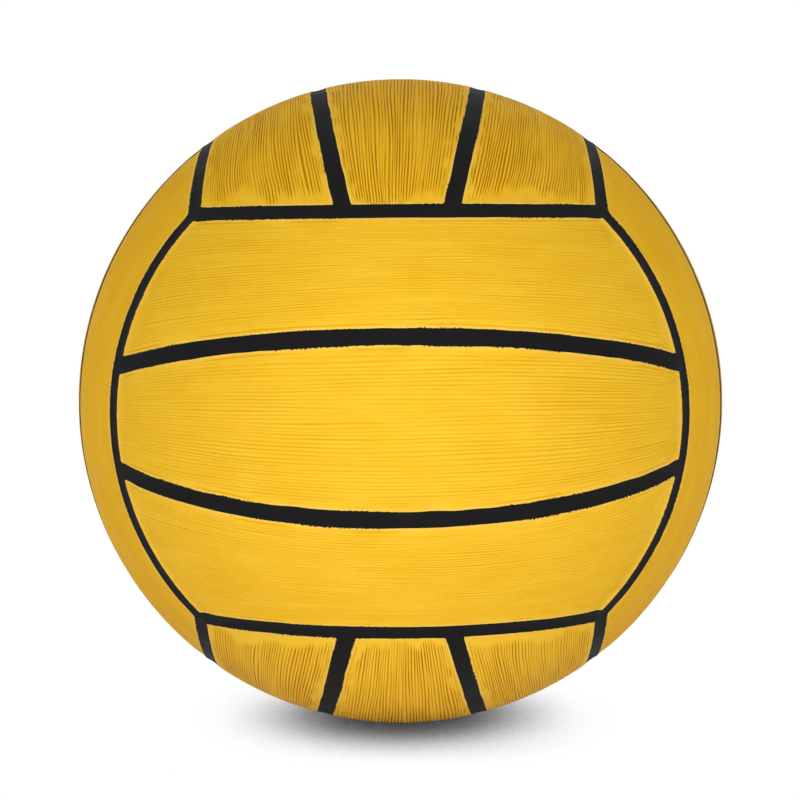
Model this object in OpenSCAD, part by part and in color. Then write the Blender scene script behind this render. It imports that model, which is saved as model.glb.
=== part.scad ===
// Water polo ball, size 4, inflated: eighteen rubber cover panels on a black carcass,
// which goes over a nylon winding and a bladder with a valve.
// The origin is the centre of the ball. +Z is up, -Y is the front, and the valve faces +Y.
// Each of the six faces has three parallel strips, and neighbouring faces run at right angles.

/* [Ball] */
// Diameter over the cover panels
ball_d = 210; // [200:1:225]
// Angle from the middle of a face to each seam between its strips
strip_angle = 14.15; // [11:0.05:17]
// Width of the seams between the strips of one face
strip_seam_w = 4.8; // [3:0.2:7]
// Width of the seams around each face
face_seam_w = 4.6; // [3:0.2:7]
// Depth of the seams below the cover panels
seam_depth = 0.4; // [0.2:0.1:0.9]

/* [Layers] */
// Thickness of the cover panels
panel_t = 1.3; // [1:0.1:2]
// Thickness of the carcass under the panels
carcass_t = 0.6; // [0.4:0.1:1.5]
// Thickness of the nylon winding
winding_t = 0.35; // [0.2:0.05:1]
// Thickness of the bladder
bladder_t = 0.55; // [0.4:0.05:1.5]
// Film of rubber cement between one layer and the next
cement_t = 0.05; // [0.02:0.01:0.1]

/* [Valve] */
// Diameter of the valve nose that shows in the cover
nose_d = 10; // [9:0.5:14]
// Depth of the valve nose below the cover
nose_recess = 0.4; // [0.2:0.1:0.8]
// Diameter of the flange that is bonded under the bladder
flange_d = 26; // [20:1:34]
// Thickness of the flange
flange_t = 0.8; // [0.5:0.1:1.5]
// Diameter of the patch that covers the flange
patch_d = 44; // [38:1:60]
// Thickness of the patch under the flange
patch_t = 0.8; // [0.5:0.1:1.5]
// Diameter of the boss inside the ball
boss_d = 14; // [11:0.5:18]
// Length of the boss below the bladder
boss_len = 13; // [11:0.5:18]

/* [Valve core] */
// Diameter of the core's head
head_d = 8; // [7.2:0.1:8.4]
// Thickness of the core's head
head_t = 1.2; // [0.8:0.1:2]
// Depth of the head below the valve nose
head_recess = 0.2; // [0.1:0.1:0.6]
// Diameter of the core's stem
stem_d = 6; // [5:0.1:6.8]
// Running clearance around the core
core_clearance = 0.05; // [0.02:0.01:0.1]
// Diameter of the needle bore
needle_d = 2.2; // [2.1:0.1:2.8]
// Depth of the needle bore, with its mouth
needle_depth = 10; // [7:0.5:11]
// Diameter of the bore's flared mouth
mouth_d = 3.4; // [3:0.1:4.5]
// Depth of the flared mouth
mouth_depth = 0.6; // [0.3:0.1:1]
// Length of the slit that seals behind the needle
slit_len = 2.6; // [1.5:0.1:3.5]
// Width of the slit
slit_w = 0.2; // [0.1:0.05:0.3]

/* [Hidden] */
$fn = 96;

// A face ends where each of the three directions has the same share of the radius.
corner_share = 1 / sqrt(3);
// The cutting solids run past what they cut by this much.
overrun = 2;

// Radii of the layers, from the cover inwards
ball_r = ball_d / 2;
panel_in_r = ball_r - panel_t;
seam_r = ball_r - seam_depth;
carcass_out_r = panel_in_r - cement_t;
carcass_in_r = carcass_out_r - carcass_t;
winding_out_r = carcass_in_r - cement_t;
winding_in_r = winding_out_r - winding_t;
bladder_out_r = winding_in_r - cement_t;
bladder_in_r = bladder_out_r - bladder_t;
flange_out_r = bladder_in_r - cement_t;
flange_in_r = flange_out_r - flange_t;
patch_in_r = flange_in_r - cement_t - patch_t;

// Heights along the valve axis, measured from the centre of the ball
nose_top = ball_r - nose_recess;
head_top = nose_top - head_recess;
head_bottom = head_top - head_t;
seat_floor = head_bottom - core_clearance;
boss_end = flange_in_r - boss_len;
needle_end = head_top - needle_depth;

// Each face is turned from the +Z face, and its strips are named in order of their side.
FACES = [
    ["front", [90, 0, 0], ["lower", "middle", "upper"]],
    ["back", [-90, 0, 0], ["upper", "middle", "lower"]],
    ["top", [0, 0, 90], ["right", "middle", "left"]],
    ["bottom", [180, 0, 90], ["left", "middle", "right"]],
    ["right", [180, -90, 0], ["rear", "middle", "front"]],
    ["left", [0, -90, 0], ["front", "middle", "rear"]],
];
SIDES = [-1, 0, 1];
VALVE_PANEL = "back_middle_panel";
INNER_NODES = ["carcass", "nylon_winding", "bladder", "valve_patch", "valve_housing", "valve_core"];

function panel_name(face, side) = str(face[0], "_", face[2][side + 1], "_panel");

// Height on the sphere's axis of a seam edge that lies this far along the surface from the corner
function edge_height(along) = ball_r * sin(asin(corner_share) + along / ball_r * 180 / PI);

// Sideways place, at height z, of the edge that lies this far to the side of a strip seam's plane
function strip_edge(z, aside) = (z * sin(strip_angle) + aside) / cos(strip_angle);

// Cross section of a strip of the +Z face, larger by grow on every side
function middle_outline(grow) =
    let (low = edge_height(face_seam_w / 2 - grow),
         high = ball_r + overrun,
         aside = grow - strip_seam_w / 2)
    [[-strip_edge(low, aside), low], [strip_edge(low, aside), low],
     [strip_edge(high, aside), high], [-strip_edge(high, aside), high]];

function outer_outline(grow) =
    let (low = edge_height(face_seam_w / 2 - grow),
         high = ball_r + overrun,
         outside = edge_height(grow - face_seam_w / 2),
         aside = strip_seam_w / 2 - grow)
    [[strip_edge(low, aside), low], [outside, low],
     [outside, high], [strip_edge(high, aside), high]];

// A bar along X with the cross section of one strip
module strip_bar(side, grow) {
    mirror([0, side < 0 ? 1 : 0, 0])
        rotate([90, 0, 90])
            linear_extrude(height = ball_d + overrun, center = true)
                polygon(side == 0 ? middle_outline(grow) : outer_outline(grow));
}

module shell(outer_r, inner_r) {
    difference() {
        sphere(r = outer_r);
        sphere(r = inner_r);
    }
}

// Turns +Z to the valve's axis
module on_valve_axis() {
    rotate([-90, 0, 0])
        children();
}

// A round rod between two heights on the valve's axis
module rod(r, low, high) {
    translate([0, 0, low])
        cylinder(r = r, h = high - low);
}

// The hole that the valve nose is cemented into
module nose_hole() {
    on_valve_axis()
        rod(nose_d / 2 + cement_t, patch_in_r - overrun, ball_r + overrun);
}

module cover_panel(face, side) {
    color("gold")
        difference() {
            intersection() {
                shell(ball_r, panel_in_r);
                rotate(face[1])
                    strip_bar(side, 0);
            }
            if (panel_name(face, side) == VALVE_PANEL)
                nose_hole();
        }
}

// The black seams are the carcass, which comes up between the panels.
module carcass() {
    color([0.14, 0.14, 0.14])
        difference() {
            shell(seam_r, carcass_in_r);
            for (face = FACES, side = SIDES)
                difference() {
                    rotate(face[1])
                        strip_bar(side, cement_t);
                    sphere(r = carcass_out_r);
                }
            nose_hole();
        }
}

module nylon_winding() {
    color("ivory")
        difference() {
            shell(winding_out_r, winding_in_r);
            nose_hole();
        }
}

module bladder() {
    color("dimgray")
        difference() {
            shell(bladder_out_r, bladder_in_r);
            nose_hole();
        }
}

// A disc of rubber that holds the flange to the bladder
module valve_patch() {
    color("slategray")
        on_valve_axis()
            difference() {
                intersection() {
                    shell(flange_out_r, patch_in_r);
                    rod(patch_d / 2, 0, ball_r);
                }
                difference() {
                    rod(flange_d / 2 + cement_t, 0, ball_r);
                    sphere(r = flange_in_r - cement_t);
                }
                rod(boss_d / 2 + cement_t, 0, ball_r);
            }
}

module valve_housing() {
    color([0.2, 0.2, 0.2])
        on_valve_axis()
            difference() {
                union() {
                    rod(nose_d / 2, boss_end, nose_top);
                    intersection() {
                        rod(boss_d / 2, boss_end, ball_r);
                        sphere(r = flange_out_r);
                    }
                    intersection() {
                        shell(flange_out_r, flange_in_r);
                        rod(flange_d / 2, 0, ball_r);
                    }
                }
                rod(stem_d / 2 + core_clearance, boss_end - overrun, ball_r);
                rod(head_d / 2 + core_clearance, seat_floor, ball_r);
            }
}

// The plug that pulls out of the housing. The slit opens for the needle and closes behind it.
module valve_core() {
    color([0.27, 0.27, 0.27])
        on_valve_axis()
            difference() {
                union() {
                    rod(head_d / 2, head_bottom, head_top);
                    rod(stem_d / 2, boss_end, head_bottom);
                }
                rod(needle_d / 2, needle_end, ball_r);
                translate([0, 0, head_top - mouth_depth])
                    cylinder(d1 = needle_d, d2 = mouth_d, h = mouth_depth);
                translate([-slit_len / 2, -slit_w / 2, boss_end - overrun])
                    cube([slit_len, slit_w, needle_end - boss_end + overrun]);
            }
}

for (face = FACES, side = SIDES)
    cover_panel(face, side);
carcass();
nylon_winding();
bladder();
valve_patch();
valve_housing();
valve_core();
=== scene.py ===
# Looks of a water polo ball: ribbed rubber strips, sunk black seams and a needle valve at the back
import math

import bpy
import numpy as np
from mathutils import Euler, Matrix, Vector


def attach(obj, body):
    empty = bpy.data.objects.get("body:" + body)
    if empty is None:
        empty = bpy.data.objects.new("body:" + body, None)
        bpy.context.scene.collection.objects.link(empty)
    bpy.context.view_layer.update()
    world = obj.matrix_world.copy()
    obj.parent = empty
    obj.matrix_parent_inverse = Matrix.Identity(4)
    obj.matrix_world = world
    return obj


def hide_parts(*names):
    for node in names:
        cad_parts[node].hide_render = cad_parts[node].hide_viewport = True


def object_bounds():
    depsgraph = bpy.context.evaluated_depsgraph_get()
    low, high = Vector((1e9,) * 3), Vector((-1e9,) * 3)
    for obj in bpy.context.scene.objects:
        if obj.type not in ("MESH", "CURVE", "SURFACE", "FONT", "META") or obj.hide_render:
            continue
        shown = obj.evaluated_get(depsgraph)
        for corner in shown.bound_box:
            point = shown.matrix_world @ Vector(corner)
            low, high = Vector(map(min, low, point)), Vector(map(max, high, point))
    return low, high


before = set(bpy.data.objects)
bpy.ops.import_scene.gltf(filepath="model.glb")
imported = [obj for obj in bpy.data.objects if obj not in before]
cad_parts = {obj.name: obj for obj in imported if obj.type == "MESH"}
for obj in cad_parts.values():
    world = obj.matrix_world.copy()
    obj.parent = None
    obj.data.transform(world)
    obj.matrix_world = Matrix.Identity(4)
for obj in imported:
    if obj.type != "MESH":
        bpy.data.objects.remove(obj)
cad_low, cad_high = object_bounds()

# Sizes are in millimetres. What Blender takes in metres, all but the lens and the sensor, is times MM.
MM = 0.001
BALL_R = (cad_high.z - cad_low.z) / 2 / MM

# Layout of the cover, as in the CAD model
STRIP_TILT = math.radians(14.15)
STRIP_SEAM_W = 4.8
FACE_SEAM_W = 4.6
PANEL_T = 1.3
CARCASS_T = 0.6
CEMENT_T = 0.05
NOSE_D = 10
CORNER_SHARE = 1 / math.sqrt(3)

# Each face is turned from the +Z face, and its strips are named in order of their side.
FACES = {
    "front": ((90, 0, 0), ("lower", "middle", "upper")),
    "back": ((-90, 0, 0), ("upper", "middle", "lower")),
    "top": ((0, 0, 90), ("right", "middle", "left")),
    "bottom": ((180, 0, 90), ("left", "middle", "right")),
    "right": ((180, -90, 0), ("rear", "middle", "front")),
    "left": ((0, -90, 0), ("front", "middle", "rear")),
}
VALVE_STRIP = "back_middle"

# Counts of the waves that make up soft, fine and lumpy random patches
SOFT_WAVES = 14
FINE_WAVES = 40
LUMP_WAVES = 30

# Each strip draws its wavering edges and its relief from random streams of their own.
EDGE_STREAM = 1
RELIEF_STREAM = 2

# Ribs of the cover panels: pitch and fanning on middle and outer strips, drift, warp, depth and narrowness
RIB_PITCHES = ((1.02, 1.24), (0.69, 0.84))
RIB_FAN_SHARES = (0.65, 0.85)
RIB_DRIFT = 0.02
RIB_WAVES = 40
RIB_WARP = 0.16
WARP_SIZE = (3.5, 45)
RIB_DEPTH = 0.19
GROOVE_POWER = 2.6

# Grooves fade out at a fork, where the waves are weaker than this.
FORK_STRENGTH = 0.3

# This keeps the division by the waves' strength clear of zero.
LEAST_STRENGTH = 1e-6

# Shares of the grooves' depth, in broad patches and by single groove: size, then middle, spread and limits
PATCH_SIZE = (12, 34)
PATCH_DEPTHS = (0.95, 0.16, 0.3, 1.2)
SINGLE_SIZE = (1.3, 24)
SINGLE_DEPTHS = (0.93, 0.17, 0.4, 1.25)

# Where the ribs fade in from the long edges and from the ends, and how unevenly their margin runs
SIDE_FADE = (0.5, 3.2)
END_FADE = (1.2, 6.0)
MARGIN_SIZE = (4, 9)
SIDE_UNEVENNESS = 0.8
END_UNEVENNESS = 0.9
BAY_SIZE = (14, 60)
BAY_DEPTH = 1.6

# The slow sideways sway of the ribs, and where it sets in from the edges
SWAY = 0.9
SWAY_LENGTH = 75
SWAY_FADE = (2, 14)

# How each face looks: shares of the ribs' depth, of their sway and of the ends' lip, and how golden it is,
# which paints shade by how the face is turned
FACE_LOOKS = {
    "front": (0.3, 0.3, 1.0, 0.0),
    "back": (0.6, 0.5, 0.6, 0.1),
    "top": (1.1, 0.7, 0.35, 0.15),
    "bottom": (0.98, 0.5, 0.35, -0.6),
    "right": (0.3, 0.5, 0.6, 0.4),
    "left": (0.3, 0.5, 0.6, 0.45),
}

# Levels of the cover panels over the ball's radius, the lip and the dip at their ends, and their round edge
TOP_LEVEL = -0.04
HIGHEST_LEVEL = -0.03
MARGIN_LEVEL = -0.07
LIP_FALL = 0.34
LIP_START = 0.1
LIP_END = 1.7
DIP_END = 6.5
EDGE_ROUND = 0.3
EDGE_DROP = 0.08

# The crease along the long edges, its painted shade, where it shows, how far from the ends it starts, and
# the cover's low lumps
CREASE_AT = 1.2
CREASE_W = 0.22
CREASE_DEPTH = 0.08
CREASE_SHADE = 0.4
WORN_SIZE = (22, 60)
WORN_RANGE = (-0.2, 1.0)
CREASE_FADE = (1.5, 4)
LUMP = 0.016
LUMP_SIZE = (3.2, 5.5)

# How far the edges waver along the seams within a face and around it, and how the corners are rounded
STRIP_WOBBLE = 0.08
FACE_WOBBLE = 0.03
WOBBLE_LENGTH = 10
WOBBLE_REACH = 3.0
CORNER_R = 1.3
CORNER_CUT = 0.2

# Depths of the black seams, below the ball's radius
SEAM_BORDER_DEPTH = 0.1
SEAM_MIDDLE_DEPTH = 0.3

# The smooth round around the valve, with its moulded ring and the painted shade in the ring
HOLE_R = NOSE_D / 2 + CEMENT_T
HOLE_BLOCK = 7.0
SMOOTH_R = 13.0
SMOOTH_FADE = 3
RING_R = 10.0
RING_W = 0.4
RING_DEPTH = 0.2
RING_SHADE = 0.55

# Steps in from a panel's edges and ends: the first is tiny, so that the wall's normal shades next to nothing
PANEL_EDGE_STEPS = (0, 0.012, 0.12, 0.25, 0.42, 0.62, 0.82, 1.02, 1.2, 1.38, 1.55)
PANEL_END_STEPS = (0, 0.012, 0.14, 0.32, 0.55, 0.85, 1.15, 1.45, 1.8, 2.3, 3.1, 4.2, 5.6)

# Rows and columns inside those steps: the columns crowd at a panel's ends, or around the valve
MIDDLE_ROWS = 340
OUTER_ROWS = 268
PANEL_COLUMNS = 128
COLUMN_CROWD = 1.1
VALVE_ZONE = 14.0
VALVE_COLUMNS = 64
VALVE_SIDE_COLUMNS = 28

# Steps of the carcass into its pockets, in millimetres, or out of them, negative, as shares of the half seam
CARCASS_STEPS = (-1, -0.995, -0.85, -0.7, -0.55, -0.4, -0.27, -0.14, -0.022, -0.018, 2.0)
CARCASS_ROWS = 12
CARCASS_COLUMNS = 44

# The pockets' walls stand here, between two steps that are close together.
POCKET_STEP_SHARE = -0.02

# Shares of the way from the square around the valve's hole in to its rim, where rings of points lie
HOLE_SHARES = (0.2, 0.4, 0.6, 0.78, 0.92, 0.99, 1.0)

# The underside has a face for so many of the upper side's rows and columns.
UNDER_STEP = 4

# What the cover's material reads at each point, and how many numbers each has
READINGS = {"groove": 1, "edge": 1, "gold": 1, "place": 3}


def smooth(low, high, x):
    """0 below low, 1 above high, and a smooth step between them."""
    t = np.clip((x - low) / (high - low), 0, 1)
    return t * t * (3 - 2 * t)


def waves(rng, x, y, x_rates, y_rates):
    """A smooth random field of complex numbers of about 1: a sum of waves with random phases."""
    total = np.zeros(np.broadcast(x, y).shape, complex)
    for x_rate, y_rate, phase in zip(x_rates, y_rates, rng.uniform(0, 2 * math.pi, len(x_rates))):
        total += np.exp(1j * (x_rate * x + y_rate * y + phase))
    return total * math.sqrt(1 / len(x_rates))


def blotches(rng, x, y, x_size, y_size, count=SOFT_WAVES):
    """Smooth random patches of about these sizes, which vary by about 1."""
    x_rates = rng.normal(0, math.pi / x_size, count)
    y_rates = rng.normal(0, math.pi / y_size, count)
    return waves(rng, x, y, x_rates, y_rates).real * math.sqrt(2)


def varied(patches, middle, spread, lowest, highest):
    """A share that random patches spread around its middle, within its limits."""
    return np.clip(middle + spread * patches, lowest, highest)


def rib_grooves(rng, across, along, pitch_range):
    """1 at the bottom of each narrow groove and 0 on the ribs between, which fork where the waves cancel."""
    warped = across + RIB_WARP * blotches(rng, across, along, *WARP_SIZE, FINE_WAVES)
    pitches = rng.uniform(*pitch_range, RIB_WAVES)
    ribs = waves(rng, warped, along, 2 * math.pi / pitches, rng.normal(0, RIB_DRIFT, RIB_WAVES))
    strength = np.abs(ribs)
    groove = (0.5 - 0.5 * ribs.real / np.maximum(strength, LEAST_STRENGTH)) ** GROOVE_POWER
    single = varied(blotches(rng, across, along, *SINGLE_SIZE, FINE_WAVES), *SINGLE_DEPTHS)
    return groove * np.clip(strength / FORK_STRENGTH, 0, 1) * single


def line(distance, middle, width):
    """1 along the middle of a line of about this half width, and 0 away from it."""
    return np.exp(-(((distance - middle) / width) ** 2))


def rounded(distance):
    """How far the round of an edge drops the surface at this distance in from it."""
    return EDGE_DROP * (1 - np.clip(distance / EDGE_ROUND, 0, 1)) ** 2


def arc(height):
    """Distance along the surface from the middle of the ball to this height."""
    return BALL_R * np.arcsin(np.clip(height / BALL_R, -1, 1))


def edge_height(along):
    """Height on the ball's axis of a seam edge that lies this far along the surface from the corner."""
    return BALL_R * math.sin(math.asin(CORNER_SHARE) + along / BALL_R)


def half_seam(side, edge):
    """Half the width of the seam at one of a strip's long edges."""
    return (FACE_SEAM_W if side and edge else STRIP_SEAM_W) / 2


def edge_plane(side, edge, step):
    """Tilt and offset of the plane that cuts a strip this far in from one of its two long edges."""
    inset = step if step >= 0 else step * half_seam(side, edge)
    if side == 0:
        sign = 2 * edge - 1
        return sign * STRIP_TILT, -sign * (STRIP_SEAM_W / 2 + inset)
    if edge == 0:
        return STRIP_TILT, STRIP_SEAM_W / 2 + inset
    return 0.0, edge_height(-FACE_SEAM_W / 2 - inset)


def end_height(step):
    """Height over the +Z face's strips of the plane that cuts them this far in from their ends."""
    return edge_height(FACE_SEAM_W / 2 + (step if step >= 0 else step * FACE_SEAM_W / 2))


def strip_points(side, edge_steps, inner_rows, end_steps, inner_places):
    """Points over one strip of the +Z face, on the ball's surface, in rows from edge to edge."""
    near = [edge_plane(side, 0, step) for step in edge_steps]
    far = [edge_plane(side, 1, step) for step in reversed(edge_steps)]
    shares = np.linspace(0, 1, inner_rows + 1)[1:-1, None]
    inner = (1 - shares) * np.array(near[-1]) + shares * np.array(far[0])
    planes = np.concatenate([near, inner, far])
    tilt, offset = planes[:, :1], planes[:, 1:]
    rho = np.sqrt(BALL_R**2 - offset**2)

    def end_angle(step):
        return np.arccos((end_height(step) + offset * np.sin(tilt)) / (rho * np.cos(tilt)))

    start = [-end_angle(step) for step in end_steps]
    middle = [place * end_angle(end_steps[-1]) for place in inner_places]
    angle = np.concatenate(start + middle + [-a for a in reversed(start)], axis=1)
    y = offset * np.cos(tilt) + rho * np.cos(angle) * np.sin(tilt)
    z = -offset * np.sin(tilt) + rho * np.cos(angle) * np.cos(tilt)
    return np.stack([rho * np.sin(angle), y, z], -1)


def edge_distances(points, side):
    """Distances along the surface, inwards from a strip's two long edges and from its nearer end."""
    found = []
    for edge, inward in ((0, 1), (1, -1)):
        tilt, offset = edge_plane(side, edge, 0)
        height = points[..., 1] * math.cos(tilt) - points[..., 2] * math.sin(tilt)
        found.append(inward * (arc(height) - arc(offset)))
    found.append(arc(points[..., 2]) - arc(end_height(0)))
    return found


def on_ball(points, height):
    """The points at this height over the ball's radius."""
    scale = (BALL_R + height) / np.linalg.norm(points, axis=-1)
    return points * scale[..., None]


def near_edge(distance, half, reach):
    """1 at an edge, and falls to 0 this far inside it and at the middle of the seam outside it."""
    return np.clip(np.minimum(1 - distance / reach, 1 + distance / half), 0, 1)


def wobbled(points, side, seed):
    """The points moved so that a strip's edges waver and its corners are round, out to the seams' middle."""
    rng = np.random.default_rng([seed, EDGE_STREAM])
    along, across = arc(points[..., 0]), arc(points[..., 1])
    turn = np.sign(points[..., 0])
    moved = np.zeros(points.shape)
    near, far, end = edge_distances(points, side)
    far_wobble = FACE_WOBBLE if side else STRIP_WOBBLE
    for distance, half, wobble, place, far_place, axis, outward in (
        (near, half_seam(side, 0), STRIP_WOBBLE, along, 0, 1, 1),
        (far, half_seam(side, 1), far_wobble, along, 0, 1, 1),
        (end, FACE_SEAM_W / 2, FACE_WOBBLE, across, turn * BALL_R, 0, turn),
    ):
        share = near_edge(distance, half, WOBBLE_REACH)
        wavering = blotches(rng, place, far_place, WOBBLE_LENGTH, WOBBLE_LENGTH)
        moved[..., axis] += outward * wobble * share * wavering
    at_end = near_edge(end, FACE_SEAM_W / 2, CORNER_R)
    for distance, edge, inward in ((near, 0, 1), (far, 1, -1)):
        cut = CORNER_CUT * (at_end * near_edge(distance, half_seam(side, edge), CORNER_R)) ** 2
        moved[..., 1] += inward * cut
        moved[..., 0] -= turn * cut
    return on_ball(points + moved, 0)


def strip_places(points, side, rows_across):
    """Distances across and along a strip.

    Across it, they are between those of its fanning rows and those of parallel planes, and so are the ribs.
    """
    tilt = STRIP_TILT if side else 0
    parallel = arc(points[..., 1] * math.cos(tilt) - points[..., 2] * math.sin(tilt))
    across = (1 - RIB_FAN_SHARES[side]) * parallel + RIB_FAN_SHARES[side] * rows_across
    return across, arc(points[..., 0])


def ribs_shown(rng, across, along, long_edge, end, clear):
    """1 where ribs are at their full depth, 0 in the uneven smooth margin along a strip's edges."""
    margin = blotches(rng, across, along, *MARGIN_SIZE)
    bays = blotches(rng, across, along, *BAY_SIZE)
    from_side = smooth(*SIDE_FADE, long_edge + SIDE_UNEVENNESS * margin)
    from_end = smooth(*END_FADE, end + END_UNEVENNESS * margin + BAY_DEPTH * bays)
    return clear * from_side * from_end


def broad_level(end, lip_share, shown):
    """The surface without its ribs: the ends rise to a lip at the seam, with a dip behind it."""
    fall = LIP_FALL * lip_share
    level = TOP_LEVEL - fall * smooth(LIP_START, LIP_END, end)
    level = level + (fall + MARGIN_LEVEL - TOP_LEVEL) * smooth(LIP_END, DIP_END, end)
    return level - (MARGIN_LEVEL - TOP_LEVEL) * shown


def panel_relief(points, side, seed, looks, rows_across, valve):
    """The points with the relief of a cover panel, and what its material reads at each of them."""
    depth_share, sway_share, lip_share, gold = looks
    rng = np.random.default_rng([seed, RELIEF_STREAM])
    near, far, end = edge_distances(points, side)
    long_edge = np.minimum(near, far)
    edge = np.minimum(long_edge, end)
    axis_r = np.hypot(points[..., 0], points[..., 1])
    clear = smooth(SMOOTH_R, SMOOTH_R + SMOOTH_FADE, axis_r) if valve else 1.0

    across, along = strip_places(points, side, rows_across)
    patches = blotches(rng, across, along, *PATCH_SIZE)
    shown = ribs_shown(rng, across, along, long_edge, end, clear)
    groove = rib_grooves(rng, across, along, RIB_PITCHES[side]) * varied(patches, *PATCH_DEPTHS) * shown
    groove = depth_share * groove

    # A crease runs along the long edges where the strip is worn.
    worn = smooth(*WORN_RANGE, blotches(rng, along, across, *WORN_SIZE)) * smooth(*CREASE_FADE, end)
    crease = worn * line(long_edge, CREASE_AT, CREASE_W)
    level = broad_level(end, lip_share, shown) - CREASE_DEPTH * crease
    level = level + LUMP * blotches(rng, across, along, *LUMP_SIZE, LUMP_WAVES)
    level = level - RIB_DEPTH * groove - rounded(edge)
    # The material paints shade into the grooves, the crease and the valve's ring by this share.
    painted_shade = np.maximum(groove, CREASE_SHADE * crease)
    if valve:
        ring = line(axis_r, RING_R, RING_W)
        level = level - RING_DEPTH * ring - rounded(axis_r - HOLE_R)
        painted_shade = np.maximum(painted_shade, RING_SHADE * ring)

    # The surface sways sideways, and the ribs with it.
    sway = SWAY * sway_share * blotches(rng, along, across, SWAY_LENGTH, 2 * SWAY_LENGTH)
    swayed = wobbled(points, side, seed)
    swayed[..., 1] += sway * clear * smooth(*SWAY_FADE, edge)

    # Each strip takes its noise from a place of its own.
    read = {
        "groove": painted_shade,
        "edge": np.maximum(edge, 0),
        "gold": np.full(along.shape, gold),
        "place": np.stack([along, across, np.full(along.shape, seed * BALL_R)], -1),
    }
    return on_ball(swayed, np.minimum(level, HIGHEST_LEVEL)), read


def carcass_relief(points, side, seed):
    """The points with the carcass's relief: round-bottomed seams, and a flat pocket under the panel."""
    near, far, end = edge_distances(points, side)
    shares = [near / half_seam(side, 0), far / half_seam(side, 1), end / (FACE_SEAM_W / 2)]
    out = -np.minimum.reduce(shares)
    dip = 1 - (1 - np.clip(out, 0, 1)) ** 2
    seam = -SEAM_BORDER_DEPTH - (SEAM_MIDDLE_DEPTH - SEAM_BORDER_DEPTH) * dip
    pocket = -PANEL_T - CEMENT_T
    return on_ball(wobbled(points, side, seed), np.where(out > -POCKET_STEP_SHARE, seam, pocket))


class Solid:
    """A mesh in the making, in the frame of the +Z face."""

    def __init__(self):
        self.points = []
        self.read = []
        self.faces = []
        self.is_smooth = []
        self.count = 0

    def add(self, points, read=None):
        """Adds points with what their material reads, and returns their numbers in the same layout.

        Points without readings read 0. A cover panel's underside and walls do, and so are as black as
        the cement that holds them.
        """
        size = points[..., 0].size
        numbers = self.count + np.arange(size).reshape(points.shape[:-1])
        self.points.append(points.reshape(-1, 3))
        self.read.append({key: value.reshape(size, -1) for key, value in (read or {}).items()})
        self.count += size
        return numbers

    def face(self, corners, is_smooth):
        """Adds one face."""
        self.faces.append([int(corner) for corner in corners])
        self.is_smooth.append(is_smooth)

    def fine_grid(self, numbers, block):
        """Outer faces over a grid, apart from the cells of the hole's block."""
        corners = [numbers[:-1, :-1], numbers[:-1, 1:], numbers[1:, 1:], numbers[1:, :-1]]
        kept = np.ones(corners[0].shape, bool)
        if block:
            kept[block[0] : block[1], block[2] : block[3]] = False
        quads = np.stack([corner[kept] for corner in corners], -1).tolist()
        self.faces.extend(quads)
        self.is_smooth.extend([True] * len(quads))

    def coarse_grid(self, numbers, step, block):
        """Inner faces over every step-th point of a grid, which keep all the points along its border."""
        rows, columns = numbers.shape[0] - 1, numbers.shape[1] - 1
        for row in range(0, rows, step):
            for column in range(0, columns, step):
                if block and block[0] <= row < block[1] and block[2] <= column < block[3]:
                    continue
                up, right = row + step, column + step
                lower = numbers[row, column : right : 1 if row == 0 else step]
                outer = numbers[row : up : 1 if right == columns else step, right]
                upper = numbers[up, right : column : -1 if up == rows else -step]
                inner = numbers[up : row : -1 if column == 0 else -step, column]
                self.face(np.concatenate([lower, outer, upper, inner])[::-1], False)

    def wall(self, upper, lower):
        """Faces between two closed loops that run anticlockwise, seen from outside the ball."""
        for k in range(len(upper)):
            following = (k + 1) % len(upper)
            self.face([lower[k], lower[following], upper[following], upper[k]], False)

    def ring(self, outer, inner, step, is_outer):
        """Faces between every step-th point of a loop and all points of a loop inside it."""
        for k in range(0, len(outer), step):
            within = [inner[(k + i) % len(inner)] for i in range(step, -1, -1)]
            corners = [outer[k], outer[(k + step) % len(outer)], *within]
            self.face(corners if is_outer else corners[::-1], is_outer)

    def turned(self, turn, mirrored):
        """The points turned from the +Z face to their own, the faces as one list, and their sizes."""
        sizes = np.array([len(face) for face in self.faces])
        flat = np.concatenate(self.faces)
        points = np.concatenate(self.points)
        if mirrored:
            points = points * np.array([1, -1, 1])
            flat = np.concatenate([face[::-1] for face in self.faces])
        return points @ np.array(turn).T, flat, sizes


def border(numbers):
    """The border of a grid as a loop that runs anticlockwise."""
    return np.concatenate([numbers[0, :-1], numbers[:-1, -1], numbers[-1, :0:-1], numbers[:0:-1, 0]])


def hole_rings(loop_points):
    """Rings of points from a square loop in to the valve's round hole."""
    flat = loop_points[:, :2]
    rim = HOLE_R * flat / np.linalg.norm(flat, axis=1, keepdims=True)
    rings = np.array([(1 - share) * flat + share * rim for share in HOLE_SHARES])
    return np.concatenate([rings, np.sqrt(BALL_R**2 - (rings**2).sum(-1))[..., None]], -1)


def hole_block(base):
    """The rows and columns of a grid's cells that the square around the valve's hole takes."""
    rows, columns = base.shape[0] - 1, base.shape[1] - 1
    found = []
    for count, places in ((rows, base[:, columns // 2, 1]), (columns, base[rows // 2, :, 0])):
        within = np.count_nonzero(np.abs(places) <= HOLE_BLOCK) / 2
        half = UNDER_STEP * max(1, round(within / UNDER_STEP))
        found += [count // 2 - half, count // 2 + half]
    return found


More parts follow.
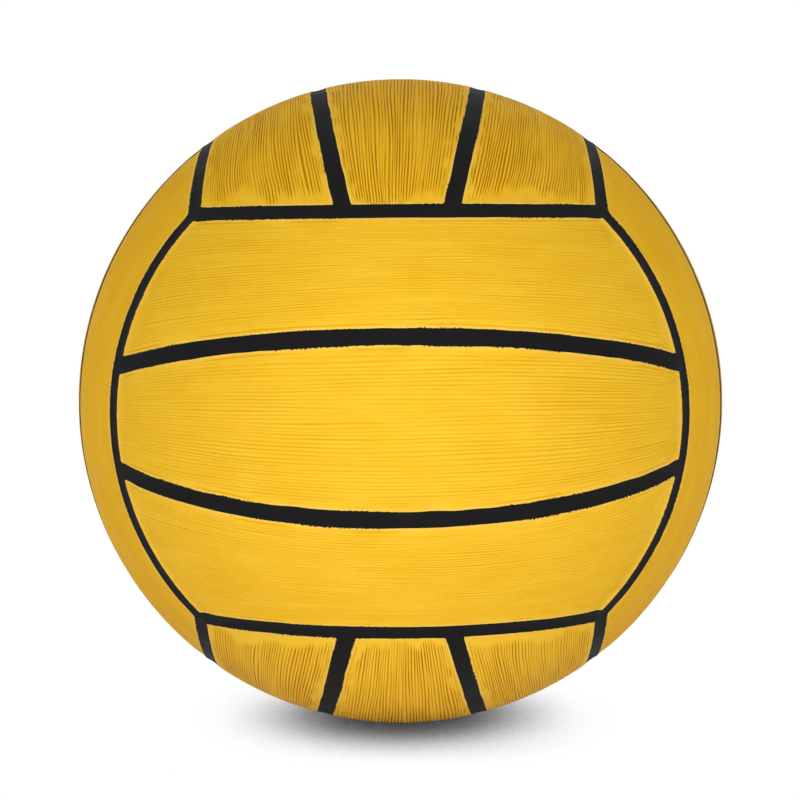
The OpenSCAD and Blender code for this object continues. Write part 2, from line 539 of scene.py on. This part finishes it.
def slab(base, dress, under_height, valve):
    """A closed slab over a grid of points. dress gives its outer side from them."""
    solid = Solid()
    block = hole_block(base) if valve else None
    top = solid.add(*dress(base))
    under = solid.add(on_ball(base, under_height))
    solid.fine_grid(top, block)
    solid.coarse_grid(under, UNDER_STEP, block)
    solid.wall(border(top), border(under))
    if valve:
        inside = (slice(block[0], block[1] + 1), slice(block[2], block[3] + 1))
        loop = border(top[inside])
        rings = hole_rings(base.reshape(-1, 3)[loop])
        for ring_points in rings:
            inner = solid.add(*dress(ring_points))
            solid.ring(loop, inner, 1, True)
            loop = inner
        rim = solid.add(on_ball(rings[-1], under_height))
        solid.ring(border(under[inside]), rim, UNDER_STEP, False)
        solid.wall(loop[::-1], rim[::-1])
    return solid


def piece(name, solids):
    """One object from solids that are given with their turns and whether they are mirrored."""
    points, corners, sizes, is_smooth, read = [], [], [], [], []
    count = 0
    for solid, turn, mirrored in solids:
        own_points, own_corners, own_sizes = solid.turned(turn, mirrored)
        points.append(own_points)
        corners.append(own_corners + count)
        sizes.append(own_sizes)
        is_smooth += solid.is_smooth
        read += zip(solid.read, solid.points)
        count += solid.count
    corners = np.concatenate(corners)
    sizes = np.concatenate(sizes)
    used, corners = np.unique(corners, return_inverse=True)
    ends = np.cumsum(sizes)
    flat = corners.tolist()
    faces = [flat[end - size : end] for end, size in zip(ends.tolist(), sizes.tolist())]
    mesh = bpy.data.meshes.new(name)
    mesh.from_pydata((np.concatenate(points)[used] * MM).tolist(), [], faces)
    mesh.polygons.foreach_set("use_smooth", is_smooth)
    for key, width in READINGS.items():
        blocks = [own.get(key, np.zeros((len(block), width))) for own, block in read]
        values = np.concatenate(blocks)[used].astype(np.float32).ravel()
        kind, field = ("FLOAT", "value") if width == 1 else ("FLOAT_VECTOR", "vector")
        mesh.attributes.new(key, kind, "POINT").data.foreach_set(field, values)
    mesh.update()
    made = bpy.data.objects.new(name, mesh)
    bpy.context.scene.collection.objects.link(made)
    return made


def panel_columns(valve):
    """Where a panel's columns lie between its ends: closer together near them, and at the valve."""
    if not valve:
        turns = np.linspace(-1, 1, PANEL_COLUMNS + 1)[1:-1]
        return np.sin(turns * COLUMN_CROWD) / math.sin(COLUMN_CROWD)
    reach = VALVE_ZONE / (arc(BALL_R * math.sqrt(1 - CORNER_SHARE**2)) - PANEL_END_STEPS[-1])
    outer = np.linspace(-1, -reach, VALVE_SIDE_COLUMNS + 1)[1:-1]
    return np.concatenate([outer, np.linspace(-reach, reach, VALVE_COLUMNS + 1), -outer[::-1]])


def cover_panel(strip, side, seed, looks):
    """The ribbed rubber of one strip."""
    valve = strip == VALVE_STRIP
    rows = OUTER_ROWS if side else MIDDLE_ROWS
    base = strip_points(abs(side), PANEL_EDGE_STEPS, rows, PANEL_END_STEPS, panel_columns(valve))
    middle = base[:, base.shape[1] // 2, 1]
    rows_across = arc(middle)[:, None] - (BALL_R * STRIP_TILT if side else 0)

    def dress(points):
        # The rings around the valve's hole have no rows, so there the distance comes from y.
        across = rows_across if points.ndim == base.ndim else arc(points[..., 1])
        return panel_relief(points, abs(side), seed, looks, across, valve)

    return slab(base, dress, -PANEL_T, valve)


def carcass_tile(strip, side, seed):
    """The carcass under one strip, with its pocket for the panel and half of the seams around it."""
    places = np.linspace(-1, 1, CARCASS_COLUMNS + 1)[1:-1]
    base = strip_points(abs(side), CARCASS_STEPS, CARCASS_ROWS, CARCASS_STEPS, places)

    def dress(points):
        return carcass_relief(points, abs(side), seed), None

    return slab(base, dress, -PANEL_T - CEMENT_T - CARCASS_T, strip == VALVE_STRIP)


def matter(name, colour, roughness, specular):
    """A material with the values that are the same all over, and its shader."""
    material = bpy.data.materials.new(name)
    material.use_nodes = True
    shader = material.node_tree.nodes["Principled BSDF"]
    shader.inputs["Base Color"].default_value = (*colour, 1)
    shader.inputs["Roughness"].default_value = roughness
    shader.inputs["Specular IOR Level"].default_value = specular
    return material, shader


def new_node(owner, kind):
    """A new node of a material or the world."""
    return owner.node_tree.nodes.new(kind)


def link(owner, start, end):
    """Joins one node's output to another's input."""
    owner.node_tree.links.new(start, end)


def attribute(material, name, output="Fac"):
    """What the mesh tells the material at each point."""
    made = new_node(material, "ShaderNodeAttribute")
    made.attribute_name = name
    return made.outputs[output]


def own_place(material):
    """The place on the object, in metres."""
    return new_node(material, "ShaderNodeTexCoord").outputs["Object"]


def noise(material, vector, scale, detail, roughness=0.5):
    """The value of a noise texture."""
    made = new_node(material, "ShaderNodeTexNoise")
    made.inputs["Scale"].default_value = scale
    made.inputs["Detail"].default_value = detail
    made.inputs["Roughness"].default_value = roughness
    link(material, vector, made.inputs["Vector"])
    return made.outputs["Fac"]


def strip_noise(material, rates, detail, roughness=0.5):
    """A noise that stretches with a strip's ribs: its rates are along the strip and across it."""
    scaled = new_node(material, "ShaderNodeVectorMath")
    scaled.operation = "MULTIPLY"
    scaled.inputs[1].default_value = (*rates, 1)
    link(material, attribute(material, "place", "Vector"), scaled.inputs[0])
    return noise(material, scaled.outputs["Vector"], 1.0, detail, roughness)


def between(owner, value, from_low, from_high, to_low, to_high, kind="LINEAR"):
    """The value mapped from one range to another, and held inside it."""
    made = new_node(owner, "ShaderNodeMapRange")
    made.interpolation_type = kind
    for socket, number in zip(made.inputs[1:5], (from_low, from_high, to_low, to_high)):
        socket.default_value = number
    link(owner, value, made.inputs[0])
    return made.outputs[0]


def worked_out(owner, operation, first, second):
    """One Math node over two values, the second of which may be a number."""
    made = new_node(owner, "ShaderNodeMath")
    made.operation = operation
    link(owner, first, made.inputs[0])
    if isinstance(second, float):
        made.inputs[1].default_value = second
    else:
        link(owner, second, made.inputs[1])
    return made.outputs[0]


def mixed(material, share, first, second):
    """Two colours mixed. Each is a colour or another node's output."""
    made = new_node(material, "ShaderNodeMix")
    made.data_type = "RGBA"
    link(material, share, made.inputs["Factor"])
    for socket, value in ((made.inputs[6], first), (made.inputs[7], second)):
        if isinstance(value, tuple):
            socket.default_value = (*value, 1)
        else:
            link(material, value, socket)
    return made.outputs[2]


def bump(material, shader, relief, height, strength):
    """A fine relief on the shader's normal, of this height in millimetres."""
    made = new_node(material, "ShaderNodeBump")
    made.inputs["Strength"].default_value = strength
    made.inputs["Distance"].default_value = height * MM
    link(material, relief, made.inputs["Height"])
    link(material, made.outputs["Normal"], shader.inputs["Normal"])


# Linear colours of the cover, of the painted shade down to the bottoms of its grooves, of the painted
# highlight on its rims and of the seams
YELLOW = (0.93, 0.567, 0.04)
GOLD = (0.87, 0.455, 0.012)
DEEP_GROOVE_SHADE = (0.89, 0.52, 0.008)
GROOVE_SHADE = (0.43, 0.165, 0.001)
PALE_HIGHLIGHT = (0.95, 0.69, 0.2)
BLACK = (0.0103, 0.0101, 0.0106)
DUSTY_BLACK = (0.0134, 0.013, 0.0132)

# Noises over a strip: rates along and across it, per millimetre, then the detail and perhaps its roughness
STREAKS = ((0.05, 0.16), 4)
GRAIN = ((0.4, 1.2), 3)
FINE_GRAIN = ((0.5, 1.4), 6, 0.7)
RAGGEDNESS = ((1.6, 1.6), 2)
RAGGED_ZONES = ((0.03, 0.03), 1)

# Noise, depth or distance turned into a share or a roughness: its range, then the result at either end
STREAK_GOLD = (0.36, 0.66, 0, 0.45)
GRAIN_GOLD = (0.3, 0.75, 0, 0.3)
SPECKLE = (0.35, 0.65, -0.2, 0.2)
# These two paint shade into the grooves: a deeper tone mixed with a random speckle, then a darkening.
SHADE_DEEPENING = (-0.05, 0.4, 0, 0.8)
SHADE_DARKENING = (0.02, 0.9, 0, 0.92)
# These two paint a highlight along the rims.
WIDE_RIM_HIGHLIGHT = (0.3, 2.2, 0.12, 0)
NARROW_RIM_HIGHLIGHT = (0.12, 0.7, 0.5, 0)
COVER_ROUGHNESS = (0.3, 0.7, 0.58, 0.72)
DUST_SHARE = (0.35, 0.75, 0, 1)
SEAM_ROUGHNESS = (0.3, 0.7, 0.55, 0.7)

# How far black from the seams reaches over a panel's edge, in millimetres, and how soft its border is
LEAST_BLEED = 0.07
RAGGED_BLEED = (0.42, 0.65, 0, 0.4)
BLEED_EXTENT = (0.44, 0.56, 0.15, 1)
BLEED_BORDER = (-0.03, 0.03, 1, 0)

# Heights of the bumps, and rates per metre of the seams' grain and dust
COVER_BUMP = 0.13
SEAM_BUMP = 0.05
SEAM_GRAIN_RATE = 1400
DUST_RATE = 120

# Mottling of the other materials: how many times coarser than their grain, how dark, and how uneven
MOTTLE_SIZE = 6
MOTTLE_DARK = 0.7
MOTTLE_RANGE = (0.3, 0.7)
ROUGHNESS_SPREAD = 0.08

# Materials of the CAD nodes that stay: colour, roughness, the grain's rate and height, and the nodes
NODE_MATERIALS = {
    "valve_rubber": ((0.018, 0.018, 0.019), 0.5, 1500, 0.05, ("valve_housing",)),
    "core_rubber": ((0.034, 0.034, 0.036), 0.55, 1500, 0.05, ("valve_core",)),
    "nylon_yarn": ((0.75, 0.73, 0.65), 0.6, 900, 0.2, ("nylon_winding",)),
    "butyl_rubber": ((0.05, 0.05, 0.056), 0.6, 700, 0.08, ("bladder", "valve_patch")),
}


def golden(material):
    """How golden the yellow is: by face, which is painted shade, in long soft blotches, and with a finer
    grain.
    """
    broad = between(material, strip_noise(material, *STREAKS), *STREAK_GOLD)
    fine = between(material, strip_noise(material, *GRAIN), *GRAIN_GOLD)
    both = worked_out(material, "ADD", broad, fine)
    return worked_out(material, "ADD", attribute(material, "gold"), both)


def groove_shaded(material, colour, grain):
    """Painted shade: the colour first deepens and then darkens from the ribs' tops to the grooves' bottoms,
    and in the crease and the valve's ring; a random speckle joins the deepening.
    """
    groove = attribute(material, "groove")
    speckled = worked_out(material, "ADD", groove, between(material, grain, *SPECKLE))
    colour = mixed(material, between(material, speckled, *SHADE_DEEPENING), colour, DEEP_GROOVE_SHADE)
    return mixed(material, between(material, groove, *SHADE_DARKENING), colour, GROOVE_SHADE)


def blackened(material):
    """1 where black from the seams covers a panel's edge, a little further in where it is ragged."""
    ragged = between(material, strip_noise(material, *RAGGEDNESS), *RAGGED_BLEED)
    extent = between(material, strip_noise(material, *RAGGED_ZONES), *BLEED_EXTENT)
    bleed = worked_out(material, "MULTIPLY", ragged, extent)
    reach = worked_out(material, "ADD", bleed, LEAST_BLEED)
    inside = worked_out(material, "SUBTRACT", attribute(material, "edge"), reach)
    return between(material, inside, *BLEED_BORDER)


def cover_rubber():
    """Yellow rubber with golden blotches, painted shade in its grooves, a painted highlight along its rims
    and black edges.
    """
    material, shader = matter("cover_rubber", YELLOW, roughness=0.65, specular=0.1)
    colour = mixed(material, golden(material), YELLOW, GOLD)
    edge = attribute(material, "edge")
    # A painted highlight makes the rims paler near the panels' edges.
    for rim in (WIDE_RIM_HIGHLIGHT, NARROW_RIM_HIGHLIGHT):
        colour = mixed(material, between(material, edge, *rim), colour, PALE_HIGHLIGHT)
    fine = strip_noise(material, *FINE_GRAIN)
    colour = groove_shaded(material, colour, fine)
    colour = mixed(material, blackened(material), colour, BLACK)
    link(material, colour, shader.inputs["Base Color"])
    link(material, between(material, fine, *COVER_ROUGHNESS), shader.inputs["Roughness"])
    bump(material, shader, fine, COVER_BUMP, strength=0.5)
    return material


def seam_rubber():
    """Black rubber, pressed smooth in the seams, with a faint grain."""
    material, shader = matter("seam_rubber", BLACK, roughness=0.62, specular=0.04)
    place = own_place(material)
    grain = noise(material, place, SEAM_GRAIN_RATE, detail=4, roughness=0.6)
    dust = noise(material, place, DUST_RATE, detail=3)
    colour = mixed(material, between(material, dust, *DUST_SHARE), BLACK, DUSTY_BLACK)
    link(material, colour, shader.inputs["Base Color"])
    link(material, between(material, dust, *SEAM_ROUGHNESS), shader.inputs["Roughness"])
    bump(material, shader, grain, SEAM_BUMP, strength=0.4)
    return material


def grained(name, colour, roughness, grain_rate, grain_height):
    """A material with a mottled colour and a fine grain."""
    material, shader = matter(name, colour, roughness, specular=0.35)
    place = own_place(material)
    mottle = noise(material, place, grain_rate / MOTTLE_SIZE, detail=3)
    darker = tuple(MOTTLE_DARK * channel for channel in colour)
    roughness_range = (roughness - ROUGHNESS_SPREAD, roughness + ROUGHNESS_SPREAD)
    link(material, mixed(material, mottle, darker, colour), shader.inputs["Base Color"])
    link(material, between(material, mottle, *MOTTLE_RANGE, *roughness_range), shader.inputs["Roughness"])
    grain = noise(material, place, grain_rate, detail=4, roughness=0.6)
    bump(material, shader, grain, grain_height, strength=0.5)
    return material


def dressed(target, material):
    """Gives an object this one material."""
    target.data.materials.clear()
    target.data.materials.append(material)


def make_ball():
    """The cover panels and the carcass, each of which stands for its CAD node."""
    cover, seam = cover_rubber(), seam_rubber()
    tiles = []
    seed = 0
    for face, (angles, places) in FACES.items():
        turn = Euler([math.radians(angle) for angle in angles]).to_matrix()
        for side, place in zip((-1, 0, 1), places):
            strip = face + "_" + place
            seed += 1
            solid = cover_panel(strip, side, seed, FACE_LOOKS[face])
            panel = piece(strip + "_cover", [(solid, turn, side < 0)])
            dressed(panel, cover)
            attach(panel, "ball")
            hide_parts(strip + "_panel")
            tiles.append((carcass_tile(strip, side, seed), turn, side < 0))
    seams = piece("seam_carcass", tiles)
    dressed(seams, seam)
    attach(seams, "ball")
    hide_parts("carcass")


def dress_nodes():
    """Materials for the CAD nodes that stay."""
    for name, (*values, nodes) in NODE_MATERIALS.items():
        material = grained(name, *values)
        for node in nodes:
            dressed(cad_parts[node], material)


# The camera as fitted to the photograph, with its angles in degrees: it looks slightly down
CAMERA_DISTANCE = 631
CAMERA_YAW = 0.34
CAMERA_PITCH = -4.38
CAMERA_ROLL = 0.40
SENSOR_W = 36
LENS = 85.86
SHIFT = (-0.0006, 0.0010)
CLIP_START = 20


def camera_axes():
    """The camera's right, forward and up in the frame."""
    yaw = Matrix.Rotation(math.radians(CAMERA_YAW), 3, "Z")
    pitch = Matrix.Rotation(math.radians(CAMERA_PITCH), 3, "X")
    roll = Matrix.Rotation(math.radians(CAMERA_ROLL), 3, "Y")
    turned = yaw @ pitch @ roll
    return turned @ Vector((1, 0, 0)), turned @ Vector((0, 1, 0)), turned @ Vector((0, 0, 1))


def make_camera():
    """The camera, which looks at the middle of the ball."""
    right, forward, up = camera_axes()
    camera = bpy.data.objects.new("camera", bpy.data.cameras.new("camera"))
    bpy.context.scene.collection.objects.link(camera)
    camera.data.sensor_width = SENSOR_W
    camera.data.lens = LENS
    camera.data.shift_x, camera.data.shift_y = SHIFT
    camera.data.clip_start = CLIP_START * MM
    turned = Matrix((right, up, -forward)).transposed().to_4x4()
    camera.matrix_world = Matrix.Translation(-forward * CAMERA_DISTANCE * MM) @ turned
    bpy.context.scene.camera = camera


# Soft lamps: azimuth from the front and elevation in degrees, distance, size, and power in watts
LAMPS = {
    "key": (0, 8, 640, 260, 0.16),
    "low": (0, -6, 520, 70, 1.0),
    "left_high": (-60, 40, 1100, 400, 3.05),
    "right_high": (60, 40, 1100, 400, 3.05),
    "left_rim": (-125, 12, 1200, 500, 2.95),
    "right_rim": (125, 12, 1200, 500, 2.95),
    "top": (0, 89, 1200, 600, 0.8),
    "back": (180, 10, 1100, 400, 4.0),
}


def make_lamps():
    """Round lamps that face the ball's middle. The camera sees none of them, and gloss only the key."""
    for name, (azimuth, elevation, distance, size, power) in LAMPS.items():
        around, above = math.radians(azimuth), math.radians(elevation)
        level = math.cos(above)
        away = Vector((math.sin(around) * level, -math.cos(around) * level, math.sin(above)))
        lamp = bpy.data.objects.new(name, bpy.data.lights.new(name, "AREA"))
        bpy.context.scene.collection.objects.link(lamp)
        lamp.data.shape = "DISK"
        lamp.data.size = size * MM
        lamp.data.energy = power
        lamp.location = away * distance * MM
        lamp.rotation_mode = "QUATERNION"
        lamp.rotation_quaternion = away.to_track_quat("Z", "Y")
        lamp.visible_camera = False
        lamp.visible_glossy = name == "key"


# Strengths of the soft light all around, and of the white background
AMBIENT = 0.12
BACKDROP = 1.0


def seen_directly(owner):
    """1 for the rays that see the background itself: the camera's, and those in gloss and glass."""
    path = new_node(owner, "ShaderNodeLightPath")
    seen = path.outputs["Is Camera Ray"]
    for kind in ("Is Glossy Ray", "Is Transmission Ray"):
        seen = worked_out(owner, "MAXIMUM", seen, path.outputs[kind])
    return seen


def make_world():
    """A soft fill all around, with a white background where the camera and gloss see it."""
    world = bpy.data.worlds.new("studio")
    bpy.context.scene.world = world
    world.use_nodes = True
    background = world.node_tree.nodes["Background"]
    background.inputs["Color"].default_value = (1, 1, 1, 1)
    strength = between(world, seen_directly(world), 0, 1, AMBIENT, BACKDROP)
    link(world, strength, background.inputs["Strength"])


# The floor's size and colour
FLOOR_SIZE = 6000
FLOOR_WHITE = (0.85, 0.85, 0.85)

# The shadow's reach, the shares of open sky at which it is full and gone, and the glow of its darkest part
SHADOW_REACH = 1000
OPEN_RANGE = (0.015, 0.36)
SHADOW_GLOW = 0.03


def make_floor():
    """A white floor that the ball touches at its lowest point.

    It is seen as overexposed white that only the ball's soft shadow darkens, by how much of the
    sky the ball hides from it.
    """
    half = FLOOR_SIZE / 2 * MM
    level = -BALL_R * MM
    mesh = bpy.data.meshes.new("floor")
    corners = [(-half, -half, level), (half, -half, level), (half, half, level), (-half, half, level)]
    mesh.from_pydata(corners, [], [(0, 1, 2, 3)])
    floor = bpy.data.objects.new("floor", mesh)
    bpy.context.scene.collection.objects.link(floor)
    material, shader = matter("floor_paper", FLOOR_WHITE, roughness=0.8, specular=0.2)
    sky = new_node(material, "ShaderNodeAmbientOcclusion")
    sky.inputs["Distance"].default_value = SHADOW_REACH * MM
    glow = new_node(material, "ShaderNodeEmission")
    shade = between(material, sky.outputs["AO"], *OPEN_RANGE, SHADOW_GLOW, BACKDROP, "SMOOTHSTEP")
    link(material, shade, glow.inputs["Strength"])
    either = new_node(material, "ShaderNodeMixShader")
    link(material, seen_directly(material), either.inputs["Fac"])
    link(material, shader.outputs[0], either.inputs[1])
    link(material, glow.outputs[0], either.inputs[2])
    link(material, either.outputs[0], material.node_tree.nodes["Material Output"].inputs["Surface"])
    floor.data.materials.append(material)


make_ball()
dress_nodes()
make_floor()
make_lamps()
make_world()
make_camera()
bpy.context.scene.view_settings.view_transform = "Standard"
